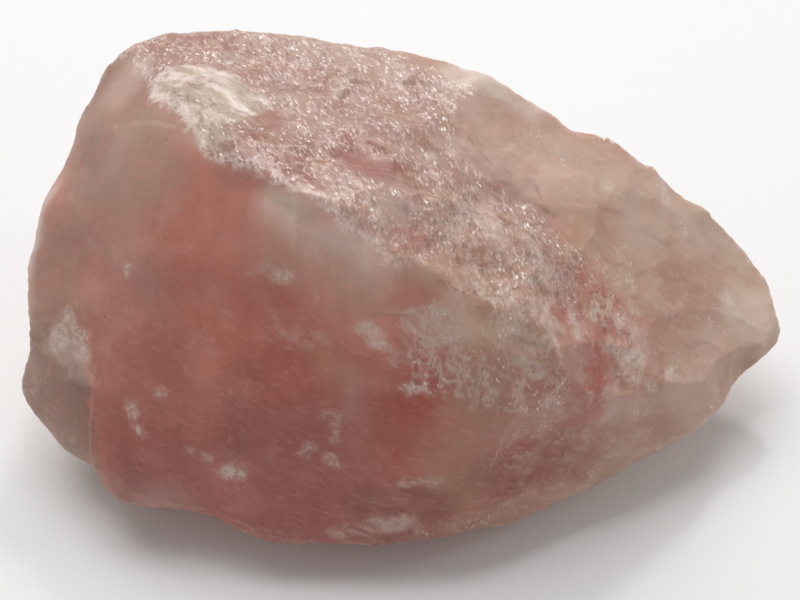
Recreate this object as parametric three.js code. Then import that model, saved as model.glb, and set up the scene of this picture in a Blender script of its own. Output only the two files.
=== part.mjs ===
// A chunk of rough rose quartz, broken from the vein: one piece of massive quartz with no crystal faces.
//
// It rests on a broad break at z = 0. X runs along its length, towards the pointed end, and Z is up.
// A steep face looks towards -Y, and the top slopes down to the point. Millimetres throughout.
//
// Quartz has no cleavage, so a piece is bounded by big breaks, by hollows where shells of stone have
// sprung off, and by steps where a break has stopped against a wall. Each surface point lies where a
// ray from the heart of the stone first meets one of these, and is then moved a little in or out for
// the small facets and the unevenness that a fresh break has.
import * as THREE from 'three';
import { ConvexHull } from 'three/addons/math/ConvexHull.js';
import { ImprovedNoise } from 'three/addons/math/ImprovedNoise.js';
import { mergeVertices } from 'three/addons/utils/BufferGeometryUtils.js';

// Driving dimensions: the box that the finished stone fills, and where its rays start.
const LENGTH = 98;
const DEPTH = 60.6;
const HEIGHT = 47;
const HEART = new THREE.Vector3( - 1, - 1, 21 );

const DETAIL = 20; // rows of triangles along each edge of the starting icosahedron
const WORN = 0.4; // how much the meeting of two breaks is rounded

// The shells that sprang off each break, from coarse to fine: their size, how deep they bit and how
// much they lean.
const SHELLS = [ { size: 15, bite: 0.6, lean: 0.07 }, { size: 6.5, bite: 0.35, lean: 0.08 } ];
// The unevenness of every break: the length and height of its waves, and where in the noise they start.
const WAVES = [ { length: 17, height: 0.4 }, { length: 5, height: 0.3 } ];
const WAVES_START = new THREE.Vector3( 5.3, 1.7, 9.1 );

// The corners where the big breaks meet, as they would be measured on a bench.
const CREST = [ // back edge of the top, from the blunt end to the point
	[ - 38.6, 21.8, 38 ], [ - 32.2, 22.4, 42.6 ], [ - 20.8, 22, 42.8 ], [ - 5.6, 20.8, 42.3 ],
	[ 5.5, 19, 41.2 ], [ 14.8, 15.6, 39.3 ], [ 25, 12.4, 33.6 ], [ 36.4, 10.2, 26.8 ], [ 43.8, 6.4, 20 ],
];
const RIDGE = [ // between the top and the steep face
	[ - 33, 14.5, 43.5 ], [ - 28, 7, 46 ], [ - 18, - 6.5, 47.4 ], [ - 4, - 14.8, 43.7 ],
	[ 5, - 17.5, 38.5 ], [ 15, - 19, 31 ], [ 25, - 19, 20.5 ],
];
const POINT = [ [ 47.6, - 0.8, 13.4 ], [ 49.3, - 2.2, 10.8 ], [ 44, - 5.6, 8.8 ] ];
const FRONT = [ // the lowest corners of the steep face
	[ 38.8, - 13, 7.8 ], [ 34.8, - 17.4, 7.8 ], [ 28.4, - 21, 6.8 ], [ 17, - 24, 7.4 ], [ 8, - 31, 6.4 ],
	[ - 3, - 33.2, 6 ], [ - 10, - 32.6, 6 ], [ - 24.5, - 30, 7 ], [ - 34, - 27, 8.2 ], [ - 39.2, - 25, 10 ],
];
const BLUNT = [ // the blunt end, from the front to the back
	[ - 47.2, - 14.6, 8.4 ], [ - 49.8, - 13, 12 ], [ - 48.8, - 7, 20.2 ], [ - 47.3, 1.9, 27.2 ],
	[ - 43.2, 9, 32.6 ], [ - 44, 10, 14 ], [ - 40, 18, 24 ],
];
const BACK = [ [ - 30, 29, 20 ], [ - 12, 30, 22 ], [ 6, 26, 20 ], [ 24, 19, 17 ], [ 38, 10, 13 ] ];
const UNDERSIDE = [
	[ - 36, - 14, - 0.6 ], [ - 20, - 20, - 0.6 ], [ 6, - 19, - 0.6 ], [ 24, - 11, - 0.6 ], [ 30, 2, - 0.6 ],
	[ 14, 15, - 0.6 ], [ - 10, 19, - 0.6 ], [ - 30, 13, - 0.6 ], [ - 38, 2, - 0.6 ],
];

// Hollows: a point close to the middle of each, how wide it is and how deep it bit into the break.
const HOLLOWS = [
	{ near: [ - 20, - 16.5, 28 ], width: 36, bite: 1.7 }, // the clean shell in the steep face
	{ near: [ - 5, - 23, 24 ], width: 15, bite: 0.8 },
	{ near: [ 16, - 24, 14 ], width: 18, bite: 1 },
	{ near: [ - 34, - 6, 28 ], width: 20, bite: 0.9 },
	{ near: [ - 47, - 2, 17 ], width: 19, bite: 1.2 },
	{ near: [ 11.5, 8, 39 ], width: 13, bite: 0.9 }, // the top
	{ near: [ 19, 14.5, 36 ], width: 9, bite: 1.2 },
	{ near: [ 31, 2, 28 ], width: 30, bite: 1.1 },
	{ near: [ 22, - 14, 25 ], width: 16, bite: 0.8 },
	{ near: [ 40, - 8, 12 ], width: 12, bite: 0.8 },
	{ near: [ 44.5, - 4.5, 9.5 ], width: 5, bite: 0.8 },
	{ near: [ - 18, 28, 28 ], width: 34, bite: 2.4 }, // the back
	{ near: [ 12, 22, 29 ], width: 24, bite: 1.6 },
	{ near: [ 32, 12, 20 ], width: 18, bite: 1.2 },
	{ near: [ - 40, 19, 27 ], width: 20, bite: 1.4 },
	{ near: [ - 4, 27, 10 ], width: 22, bite: 1.6 },
	{ near: [ - 28, - 24, 4 ], width: 20, bite: 0.6 }, // under the rim
	{ near: [ 4, - 26, 3.5 ], width: 24, bite: 1.3 },
	{ near: [ 34, - 6, 5 ], width: 18, bite: 1.2 },
];

// Steps: stone is gone from beyond both planes, each given by a point on it and the way it faces.
const STEPS = [
	{ // the grey corner of the blunt end, behind the steep face's sharp edge
		floor: { at: [ - 49.8, - 13.8, 12.7 ], faces: [ - 0.62, - 0.72, - 0.05 ] },
		wall: { at: [ - 39.2, - 20, 12 ], faces: [ - 1, 0.1, 0.12 ] },
	},
];

const corners = [ CREST, RIDGE, POINT, FRONT, BLUNT, BACK, UNDERSIDE ].flat();
const big = new ConvexHull().setFromPoints( corners.map( ( corner ) => new THREE.Vector3( ...corner ) ) );

// Each break is a plane: the way it faces, and how far it lies from the heart.
const breaks = big.faces.map( ( { normal, constant } ) => {

	return { normal, reach: constant - normal.dot( HEART ) };

} );

function plane( { at, faces } ) {

	const normal = new THREE.Vector3( ...faces ).normalize();
	return { normal, reach: normal.dot( new THREE.Vector3( ...at ).sub( HEART ) ) };

}

const steps = STEPS.map( ( { floor, wall } ) => [ plane( floor ), plane( wall ) ] );

// How far a ray goes before it crosses a plane, or Infinity if it never does.
function toPlane( { normal, reach }, ray ) {

	const speed = normal.dot( ray );
	return speed > 1e-6 ? reach / speed : Infinity;

}

const hollows = HOLLOWS.map( ( { near, width, bite } ) => {

	const ray = new THREE.Vector3( ...near ).sub( HEART ).normalize();
	const face = breaks.reduce( ( first, next ) => toPlane( next, ray ) < toPlane( first, ray ) ? next : first );
	const radius = ( width * width / 4 + bite * bite ) / ( 2 * bite );
	const centre = ray.multiplyScalar( toPlane( face, ray ) ).addScaledVector( face.normal, radius - bite );
	return { centre, radius };

} );

// How far a ray goes before it enters a ball, or Infinity if it misses.
function toBall( { centre, radius }, ray ) {

	const along = centre.dot( ray );
	const inside = along * along - centre.lengthSq() + radius * radius;
	return inside > 0 && along > 0 ? along - Math.sqrt( inside ) : Infinity;

}

// How far a ray goes before it first meets a break, a step or a hollow, with their meetings worn round.
function toSurface( ray ) {

	const reaches = [
		...breaks.map( ( face ) => toPlane( face, ray ) ),
		...steps.map( ( [ floor, wall ] ) => Math.max( toPlane( floor, ray ), toPlane( wall, ray ) ) ),
		...hollows.map( ( hollow ) => toBall( hollow, ray ) ),
	];
	const nearest = Math.min( ...reaches );
	const sum = reaches.reduce( ( total, reach ) => total + Math.exp( ( nearest - reach ) / WORN ), 0 );
	return nearest - WORN * Math.log( sum );

}

// A number from 0 to 1 that is always the same for a cell of space.
function chance( x, y, z, which ) {

	const mixed = Math.sin( x * 127.1 + y * 311.7 + z * 74.7 + which * 269.5 ) * 43758.5453;
	return mixed - Math.floor( mixed );

}

// The steps from a cell of space to itself and to the 26 cells round it.
const NEIGHBOURS = [ - 1, 0, 1 ].flatMap( ( x ) => [ - 1, 0, 1 ].flatMap( ( y ) => {

	return [ - 1, 0, 1 ].map( ( z ) => new THREE.Vector3( x, y, z ) );

} ) );

// How far out of its break a point is left by shallow bowls round scattered seeds. There is one seed
// in each cell of space, and the bowls meet in sharp crests.
function bowls( point, { size, bite, lean } ) {

	const cell = point.clone().divideScalar( size ).floor();
	const offset = new THREE.Vector3();
	const tilt = new THREE.Vector3();
	let lowest = Infinity;

	for ( const step of NEIGHBOURS ) {

		const { x, y, z } = cell.clone().add( step );
		offset.set( x + chance( x, y, z, 0 ), y + chance( x, y, z, 1 ), z + chance( x, y, z, 2 ) );
		offset.multiplyScalar( - size ).add( point );
		tilt.set( chance( x, y, z, 3 ), chance( x, y, z, 4 ), chance( x, y, z, 5 ) ).subScalar( 0.5 );
		lowest = Math.min( lowest, 4 * bite * offset.lengthSq() / ( size * size ) + 2 * lean * tilt.dot( offset ) );

	}

	return lowest - bite;

}

const noise = new ImprovedNoise();

function unevenness( point ) {

	const shells = SHELLS.reduce( ( sum, shell ) => sum + bowls( point, shell ), 0 );
	return WAVES.reduce( ( sum, { length, height } ) => {

		const { x, y, z } = point.clone().divideScalar( length ).add( WAVES_START );
		return sum + height * noise.noise( x, y, z );

	}, shells );

}

// Puts the origin under the middle of the stone, and brings its box to the driving dimensions.
function fitToBox( geometry ) {

	geometry.computeBoundingBox();
	const middle = geometry.boundingBox.getCenter( new THREE.Vector3() );
	const size = geometry.boundingBox.getSize( new THREE.Vector3() );
	geometry.translate( - middle.x, - middle.y, 0 );
	return geometry.scale( LENGTH / size.x, DEPTH / size.y, HEIGHT / size.z );

}

function chunkGeometry() {

	const geometry = new THREE.IcosahedronGeometry( 1, DETAIL );
	const positions = geometry.getAttribute( 'position' );
	const stretch = new THREE.Vector3( LENGTH, DEPTH, HEIGHT );
	const ray = new THREE.Vector3();

	for ( let i = 0; i < positions.count; i ++ ) {

		ray.fromBufferAttribute( positions, i ).multiply( stretch ).normalize();
		const reach = toSurface( ray );
		const point = ray.clone().multiplyScalar( reach ).add( HEART );
		point.addScaledVector( ray, unevenness( point ) );
		if ( point.z < 0 ) point.z = 0;
		positions.setXYZ( i, point.x, point.y, point.z );

	}

	geometry.deleteAttribute( 'normal' );
	geometry.deleteAttribute( 'uv' );
	return fitToBox( mergeVertices( geometry, 1e-3 ) );

}

const roseQuartz = new THREE.MeshStandardMaterial( { color: 0xc48d83, roughness: 0.35, metalness: 0 } );
const chunk = new THREE.Mesh( chunkGeometry(), roseQuartz );
chunk.name = 'rose_quartz_chunk';

const specimen = new THREE.Group();
specimen.add( chunk );

export default specimen;
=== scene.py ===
"""A chunk of rough rose quartz, resting on a pale table in soft studio light."""

import bmesh
import bpy
from mathutils import Matrix, Vector
from mathutils.bvhtree import BVHTree


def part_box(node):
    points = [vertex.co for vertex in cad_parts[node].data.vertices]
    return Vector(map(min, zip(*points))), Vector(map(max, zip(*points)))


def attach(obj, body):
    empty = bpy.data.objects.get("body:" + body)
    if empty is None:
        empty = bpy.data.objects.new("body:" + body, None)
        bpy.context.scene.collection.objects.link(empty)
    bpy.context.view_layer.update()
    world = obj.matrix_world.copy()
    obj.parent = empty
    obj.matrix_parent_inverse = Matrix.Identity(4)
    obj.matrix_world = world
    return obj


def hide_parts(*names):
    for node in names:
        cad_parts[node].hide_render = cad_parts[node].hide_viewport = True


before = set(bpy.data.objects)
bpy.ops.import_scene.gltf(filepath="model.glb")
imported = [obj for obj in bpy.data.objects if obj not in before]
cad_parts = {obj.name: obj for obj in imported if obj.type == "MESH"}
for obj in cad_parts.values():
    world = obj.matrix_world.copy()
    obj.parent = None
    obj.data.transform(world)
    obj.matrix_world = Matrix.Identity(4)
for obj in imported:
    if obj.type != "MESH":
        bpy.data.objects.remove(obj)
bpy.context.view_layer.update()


# --- The stone ------------------------------------------------------------------------------------
# The stone is one piece of massive rose quartz, knocked out of a vein. Its big breaks come from the
# frame. Here they are worn smooth, and then shells, ledges, flakes and small facets spring off them.
# It is cloudy pink right through, with a cream crust, olive stain and white bruises on its skin.

NODE = "rose_quartz_chunk"
low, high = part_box(NODE)
MM = (high[0] - low[0]) / 98  # a millimetre, at the size that all places on the stone are given in


def add(tree, kind, **settings):
    """A new node in a tree, with its own settings."""
    made = tree.nodes.new(kind)
    for name, value in settings.items():
        setattr(made, name, value)
    return made


def join(tree, value, socket):
    """Feeds a socket from another one, or sets it to a plain value."""
    if isinstance(value, bpy.types.NodeSocket):
        tree.links.new(value, socket)
    else:
        socket.default_value = value


def number(tree, operation, *values):
    """The result of a sum on numbers."""
    made = add(tree, "ShaderNodeMath", operation=operation)
    for value, socket in zip(values, made.inputs):
        join(tree, value, socket)
    return made.outputs[0]


def highest(tree, *values):
    """The highest of several numbers."""
    most = values[0]
    for value in values[1:]:
        most = number(tree, "MAXIMUM", most, value)
    return most


def lowest(tree, *values):
    """The lowest of several numbers."""
    least = values[0]
    for value in values[1:]:
        least = number(tree, "MINIMUM", least, value)
    return least


def product(tree, *values):
    """Several numbers multiplied together."""
    total = values[0]
    for value in values[1:]:
        total = number(tree, "MULTIPLY", total, value)
    return total


def vector(tree, operation, *values):
    """The result of a sum on vectors."""
    made = add(tree, "ShaderNodeVectorMath", operation=operation)
    sockets = [made.inputs[0], made.inputs["Scale"]] if operation == "SCALE" else made.inputs
    for value, socket in zip(values, sockets):
        join(tree, value, socket)
    return made.outputs["Value" if operation in ("LENGTH", "DISTANCE", "DOT_PRODUCT") else "Vector"]


def fade(tree, value, start, end):
    """0 at start and before it, 1 at end and past it, and a soft rise between them."""
    made = add(tree, "ShaderNodeMapRange", interpolation_type="SMOOTHSTEP")
    for given, name in ((value, "Value"), (start, "From Min"), (end, "From Max")):
        join(tree, given, made.inputs[name])
    return made.outputs[0]


def cloud(tree, place, size, detail=2.0, out="Fac"):
    """Smooth noise round 0.5, whose clouds are about size across."""
    made = add(tree, "ShaderNodeTexNoise")
    join(tree, place, made.inputs["Vector"])
    made.inputs["Scale"].default_value = 1 / size
    made.inputs["Detail"].default_value = detail
    return made.outputs[out]


def swing(tree, place, size, amount, detail=2.0):
    """Smooth noise that swings round 0 by up to about half of amount."""
    return number(tree, "MULTIPLY", number(tree, "SUBTRACT", cloud(tree, place, size, detail), 0.5), amount)


def shifted(tree, place, size, amount, detail=2.0):
    """Every place, shifted about by noise."""
    shift = vector(tree, "SUBTRACT", cloud(tree, place, size, detail, "Color"), (0.5, 0.5, 0.5))
    return vector(tree, "ADD", place, vector(tree, "SCALE", shift, amount))


def drawn_out(tree, place, way, times):
    """Places whose pattern is drawn out along a way, by a number of times."""
    along = number(tree, "MULTIPLY", vector(tree, "DOT_PRODUCT", place, way), 1 / times - 1)
    return vector(tree, "ADD", place, vector(tree, "SCALE", way, along))


def cells(tree, place, size, **settings):
    """A node of scattered cells, about size across."""
    made = add(tree, "ShaderNodeTexVoronoi", **settings)
    join(tree, place, made.inputs["Vector"])
    made.inputs["Scale"].default_value = 1 / size
    return made


def mixed(tree, share, under, over):
    """One colour laid over another."""
    made = add(tree, "ShaderNodeMix", data_type="RGBA")
    for value, socket in ((share, 0), (under, 6), (over, 7)):
        join(tree, value, made.inputs[socket])
    return made.outputs[2]


def group(name, kind, inputs, outputs):
    """A new node group with named sockets, and its input and output nodes."""
    tree = bpy.data.node_groups.new(name, kind)
    for way, sockets in (("INPUT", inputs), ("OUTPUT", outputs)):
        for label, sort in sockets.items():
            tree.interface.new_socket(label, in_out=way, socket_type="NodeSocket" + sort)
    return tree, add(tree, "NodeGroupInput").outputs, add(tree, "NodeGroupOutput").inputs


def place_group(tree, used, values):
    """Places a geometry node group in a tree with its own values, and returns its outputs."""
    made = add(tree, "GeometryNodeGroup")
    made.node_tree = used
    for name, value in values.items():
        join(tree, value, made.inputs[name])
    return made.outputs


def stored(tree, name, sort="FLOAT"):
    """A value kept on the stone under a name."""
    made = add(tree, "GeometryNodeInputNamedAttribute", data_type=sort)
    made.inputs["Name"].default_value = name
    return made.outputs["Attribute"]


def store(tree, stone, name, value, sort="FLOAT"):
    """Keeps a value on the stone under a name."""
    made = add(tree, "GeometryNodeStoreNamedAttribute", data_type=sort, domain="POINT")
    made.inputs["Name"].default_value = name
    join(tree, stone, made.inputs["Geometry"])
    join(tree, value, made.inputs["Value"])
    return made.outputs["Geometry"]


def position(tree):
    """Each point's place."""
    return add(tree, "GeometryNodeInputPosition").outputs[0]


def lying(tree):
    """The way that the big break round each point faces."""
    return vector(tree, "NORMALIZE", stored(tree, "lay", "FLOAT_VECTOR"))


def moved(tree, stone, offset):
    """The stone with its surface moved."""
    made = add(tree, "GeometryNodeSetPosition")
    join(tree, stone, made.inputs["Geometry"])
    join(tree, offset, made.inputs["Offset"])
    return made.outputs["Geometry"]


def blurred(tree, value, rounds, weight=1.0):
    """A value that each point shares with its neighbours, over and over."""
    made = add(tree, "GeometryNodeBlurAttribute", data_type="FLOAT_VECTOR")
    join(tree, value, made.inputs[0])
    made.inputs["Iterations"].default_value = rounds
    join(tree, weight, made.inputs["Weight"])
    return made.outputs[0]


def worn_smooth(tree, stone, rounds, weight, most):
    """The stone with its unevenness worn away and its big form kept. No point moves further than most."""
    worn = blurred(tree, position(tree), rounds, weight)
    lost = blurred(tree, vector(tree, "SUBTRACT", position(tree), worn), rounds, weight)
    move = vector(tree, "SUBTRACT", vector(tree, "ADD", worn, lost), position(tree))
    length = highest(tree, vector(tree, "LENGTH", move), 1e-6)
    share = lowest(tree, 1.0, number(tree, "DIVIDE", most, length))
    return moved(tree, stone, vector(tree, "SCALE", move, share))


def at_foot(tree, stone, near, value):
    """A value at the point of the surface that is nearest to a place."""
    made = add(tree, "GeometryNodeSampleNearestSurface", data_type="FLOAT_VECTOR")
    join(tree, stone, made.inputs["Mesh"])
    join(tree, value, made.inputs["Value"])
    join(tree, near, made.inputs["Sample Position"])
    return made.outputs["Value"]


def shell_group():
    """A shell of stone that sprang off: a shallow part of a ball is gone, and its rim is sharp."""
    tree, given, result = group(
        "Sprung shell", "GeometryNodeTree",
        {"Stone": "Geometry", "Near": "Vector", "Width": "Float", "Bite": "Float", "Ragged": "Float"},
        {"Stone": "Geometry"},
    )
    stone, near, width, bite = given["Stone"], given["Near"], given["Width"], given["Bite"]
    facing = vector(tree, "NORMALIZE", at_foot(tree, stone, near, stored(tree, "lay", "FLOAT_VECTOR")))
    foot = at_foot(tree, stone, near, position(tree))
    half = number(tree, "MULTIPLY", width, 0.5)
    radius = number(tree, "DIVIDE", number(tree, "POWER", half, 2.0), bite)
    radius = number(tree, "MULTIPLY", number(tree, "ADD", radius, bite), 0.5)
    centre = vector(tree, "ADD", foot, vector(tree, "SCALE", facing, number(tree, "SUBTRACT", radius, bite)))
    along = vector(tree, "DOT_PRODUCT", vector(tree, "SUBTRACT", position(tree), centre), facing)
    ragged = shifted(tree, position(tree), 3.5 * MM, given["Ragged"], 3.0)
    offset = vector(tree, "SUBTRACT", ragged, centre)
    out = vector(tree, "DOT_PRODUCT", offset, facing)
    beside = number(tree, "SUBTRACT", vector(tree, "DOT_PRODUCT", offset, offset), product(tree, out, out))
    wall = number(tree, "SUBTRACT", product(tree, radius, radius), beside)
    depth = number(tree, "ADD", along, number(tree, "SQRT", highest(tree, wall, 0.0)))
    away = number(tree, "SQRT", number(tree, "ADD", beside, product(tree, along, along)))
    cut = product(tree, number(tree, "LESS_THAN", away, radius), highest(tree, depth, 0.0))
    slope = number(tree, "DIVIDE", half, radius)
    away = number(tree, "ABSOLUTE", number(tree, "SUBTRACT", away, radius))
    away = number(tree, "DIVIDE", away, number(tree, "MULTIPLY", slope, MM))
    kept = store(tree, stone, "rim", lowest(tree, away, stored(tree, "rim")))
    inwards = vector(tree, "SCALE", facing, number(tree, "MULTIPLY", cut, -1.0))
    join(tree, moved(tree, kept, inwards), result["Stone"])
    return tree


def ledge_group():
    """A ledge where a thin flake broke off: the ground drops at its edge and rises slowly again past it."""
    tree, given, result = group(
        "Ledge", "GeometryNodeTree",
        {"Stone": "Geometry", "Near": "Vector", "Down": "Vector", "Width": "Float", "Reach": "Float",
         "Drop": "Float", "Ragged": "Float"},
        {"Stone": "Geometry"},
    )
    stone, near = given["Stone"], given["Near"]
    facing = vector(tree, "NORMALIZE", at_foot(tree, stone, near, stored(tree, "lay", "FLOAT_VECTOR")))
    foot = at_foot(tree, stone, near, position(tree))
    side = vector(tree, "NORMALIZE", vector(tree, "CROSS_PRODUCT", facing, given["Down"]))
    down = vector(tree, "CROSS_PRODUCT", side, facing)
    ragged = shifted(tree, position(tree), 3.5 * MM, given["Ragged"], 3.0)
    offset = vector(tree, "SUBTRACT", ragged, foot)
    past = vector(tree, "DOT_PRODUCT", offset, down)
    smooth = vector(tree, "DOT_PRODUCT", vector(tree, "SUBTRACT", position(tree), foot), down)
    beside = number(tree, "ABSOLUTE", vector(tree, "DOT_PRODUCT", offset, side))
    under = number(tree, "ABSOLUTE", vector(tree, "DOT_PRODUCT", offset, facing))
    half = number(tree, "MULTIPLY", given["Width"], 0.5)
    window = fade(tree, beside, half, number(tree, "MULTIPLY", half, 0.55))
    window = product(tree, window, fade(tree, under, 12 * MM, 8 * MM))
    edge = fade(tree, past, -0.15 * MM, 0.35 * MM)
    left = highest(tree, 0.0, number(tree, "SUBTRACT", 1.0, number(tree, "DIVIDE", smooth, given["Reach"])))
    cut = product(tree, edge, left, window, given["Drop"])
    away = number(tree, "DIVIDE", number(tree, "ABSOLUTE", past), MM)
    away = number(tree, "ADD", away, number(tree, "MULTIPLY", number(tree, "SUBTRACT", 1.0, window), 5.0))
    kept = store(tree, stone, "rim", lowest(tree, away, stored(tree, "rim")))
    inwards = vector(tree, "SCALE", facing, number(tree, "MULTIPLY", cut, -1.0))
    join(tree, moved(tree, kept, inwards), result["Stone"])
    return tree


def zone_group():
    """How deep a place lies inside a rounded zone round a short line. It is below 0 outside the zone."""
    tree, given, result = group(
        "Zone", "GeometryNodeTree",
        {"Place": "Vector", "From": "Vector", "To": "Vector", "Radius": "Float"}, {"Depth": "Float"},
    )
    line = vector(tree, "SUBTRACT", given["To"], given["From"])
    offset = vector(tree, "SUBTRACT", given["Place"], given["From"])
    length = number(tree, "ADD", vector(tree, "DOT_PRODUCT", line, line), 1e-6)
    share = number(tree, "DIVIDE", vector(tree, "DOT_PRODUCT", offset, line), length)
    share = lowest(tree, 1.0, highest(tree, 0.0, share))
    away = vector(tree, "LENGTH", vector(tree, "SUBTRACT", offset, vector(tree, "SCALE", line, share)))
    join(tree, number(tree, "SUBTRACT", given["Radius"], away), result["Depth"])
    return tree


ZONE = zone_group()


def zone(tree, place, start, end, radius):
    """How deep a place lies inside one zone."""
    return place_group(tree, ZONE, {"Place": place, "From": start, "To": end, "Radius": radius})["Depth"]


def deepest(tree, place, zones):
    """How deep a place lies inside the nearest of several zones."""
    return highest(tree, *[zone(tree, place, start, end, radius) for start, end, radius in zones])


def flake_phase(tree, place):
    """Where a place lies between the edges of two thin flakes, from 0 to 1."""
    rising = vector(tree, "DOT_PRODUCT", place, (0.08, 0.12, 0.16))
    rising = number(tree, "ADD", rising, number(tree, "MULTIPLY", cloud(tree, place, 7, 4.0), 4.5))
    return number(tree, "FRACT", rising)


# Shells: a place close to the middle, the width, and the depth of the bite, in millimetres.
SHELLS = [
    ((-13.5, -12.5, 35), 7, 0.3),
    ((-12, 5, 45), 13, 0.3),
    ((3, 3, 42), 11, 0.3),
    ((11.7, 8.5, 38.4), 11, 0.45),
    ((31, 2, 28), 18, 0.35),
    ((36, -6, 20), 13, 0.35),
    ((42, 3, 20), 9, 0.3),
    ((15, -24, 12), 13, 0.6),
    ((26, -14, 21), 11, 0.35),
    ((21, 13.6, 34.6), 4, 0.3),
    ((43.1, -5.4, 11.6), 5, 0.9),
    ((30, -16, 13), 12, 0.4),
    ((-5, 27, 27), 20, 0.8),
    ((12, 23, 22), 17, 0.8),
    ((-30, 26, 20), 20, 0.9),
]
# Ledges: a place on the edge, the way down, the width, how far the drop reaches, its depth, raggedness.
LEDGES = [
    ((-39.3, -18.5, 13), (-1.0, 0.0, 0.0), 17, 6, 0.45, 0.8),  # the edge of the grey end
    ((9.8, 3.6, 38.3), (-0.45, -0.9, 0.0), 17, 5, 0.22, 2.6),
    ((6.8, 7.5, 40.5), (-1.0, 0.1, 0.0), 8, 4, 0.25, 1.6),
    ((15.5, 0.5, 35), (-0.2, -1.0, 0.0), 8, 4, 0.3, 2.2),
    ((-1, 14.5, 42.3), (0.1, -1.0, 0.0), 26, 4, 0.22, 4.0),
    ((-1.8, -15.8, 34.6), (0.0, -0.5, -0.85), 8, 3, 0.25, 0.8),
    ((14.2, -17.1, 31), (-0.3, -0.5, -0.8), 7, 3, 0.45, 1.8),
    ((14.2, -18.3, 28.2), (-0.3, -0.5, -0.8), 6, 3, 0.4, 1.8),
    ((25.2, -12.5, 23.4), (-1.0, -0.2, -0.2), 12, 4, 0.4, 1.4),
    ((20.5, -8, 30.3), (0.9, 0.3, -0.4), 12, 4, 0.35, 1.8),
    ((-8, 25, 33), (0.3, 0.9, -0.3), 18, 7, 0.6, 2.0),
    ((20, 18, 22), (0.5, 0.8, -0.4), 16, 6, 0.6, 2.0),
]
STEEP_FACING = (-0.19, -0.83, 0.52)  # the way the clean steep face looks
SIDE_FACING = (-0.66, -0.15, 0.74)  # the way the clean face above the blunt end looks
# Zones where the stone broke sugary: a line and a radius.
SUGARY = [
    ((-24, 9, 45), (-3, 3, 44.5), 17),
    ((3, 5, 42), (10, -6, 38), 9.5),
    ((14, -5, 36), (18.5, -7.5, 31.5), 4.2),
    ((6, -12, 38), (14, -14, 33), 3),
]
# The edges of the sugary top: the way in from each edge, and how far along it the edge lies.
TOP_EDGES = [((0.527, 0.85, 0.0), -13.6), ((0.883, 0.47, 0.0), -21.8)]
# Clean windows in the sugary ground.
CLEAN = [
    ((12, 8, 38.5), (18, 6, 35.5), 6.5),
    ((-17, 5.5, 45.5), (-16, 4, 45.5), 1.8),
    ((-6, -1.4, 44.9), (-1, -3.6, 44.2), 1.8),
    ((-3, -7.5, 43.8), (-1, -8.5, 43), 1.0),
    ((8, -10.5, 37.5), (9.5, -12.5, 36), 1.8),
]
# Zones of thin overlapping flakes.
FLAKY = [
    ((2, -17, 34), (3, -18, 31), 3.5),
    ((9, -6, 38), (14, -18, 30), 5.5),
    ((5, -19, 28), (15, -20, 25), 4.5),
    ((25, -9.5, 27.5), (28, -13, 20), 3.2),
]


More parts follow.
